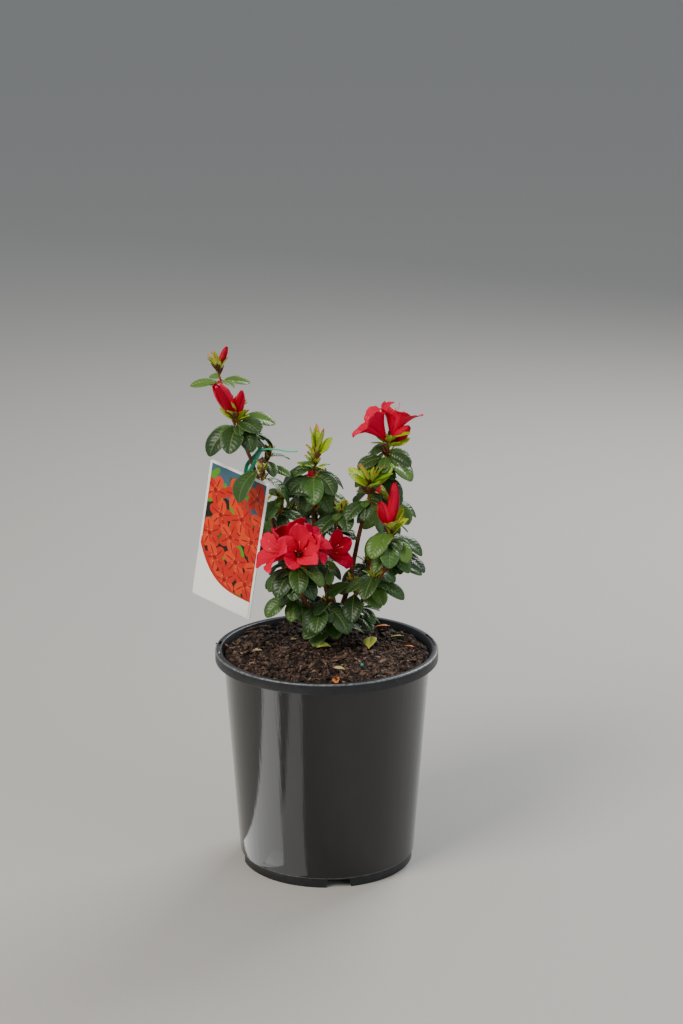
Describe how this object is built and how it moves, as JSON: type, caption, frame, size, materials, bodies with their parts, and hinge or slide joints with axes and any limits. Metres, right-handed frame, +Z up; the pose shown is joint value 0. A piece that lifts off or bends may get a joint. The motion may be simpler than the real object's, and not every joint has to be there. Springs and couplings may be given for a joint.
{
  "type": "potted azalea shrub",
  "caption": "Young evergreen azalea in a round nursery pot, with red blossom, buds, leafy shoots and a hanging picture card on a plastic tie.",
  "frame": {"origin": "centre of the pot's underside, on the surface that the pot stands on", "axes": "+Z up, +X to the right and +Y away from a viewer who faces the side with the hanging card and the low cluster of open blossom"},
  "size_m": [0.2224, 0.2161, 0.4669],
  "materials": {
    "pot": "glossy charcoal black plastic",
    "soil": "rough bark potting mix",
    "bark": "thin red-brown bark",
    "foliage": "glossy dark green leaves, yellow-green young leaves and crimson blossom",
    "card": "smooth printed card",
    "tie": "satin green plastic"
  },
  "bodies": {
    "root": {"pot": "pot", "soil": "soil", "trunk": "bark", "bough_centre": "bark", "bough_right_tall": "bark", "bough_right_low": "bark", "bough_left": "bark", "bough_front": "bark", "bough_back": "bark", "bough_back_left": "bark", "bough_back_right": "bark", "bough_front_right": "bark", "bough_left_top": "bark", "card": "card", "tie": "tie", "foliage_front": "foliage", "foliage_front_right": "foliage", "foliage_back_inner": "foliage", "foliage_right_low": "foliage", "foliage_centre": "foliage", "foliage_right_mid": "foliage", "foliage_right_top": "foliage", "foliage_left": "foliage", "foliage_left_top": "foliage", "foliage_left_card": "foliage", "foliage_left_side": "foliage", "foliage_left_low": "foliage", "foliage_centre_side": "foliage", "foliage_centre_right": "foliage", "foliage_right_stem": "foliage", "foliage_right_side": "foliage", "foliage_low_front": "foliage", "foliage_low_right": "foliage", "foliage_low_middle": "foliage", "foliage_low_trunk": "foliage", "foliage_low_left": "foliage", "foliage_back": "foliage", "foliage_back_left": "foliage", "foliage_back_right": "foliage", "foliage_back_low_left": "foliage", "foliage_back_low_right": "foliage"}
  },
  "joints": []
}
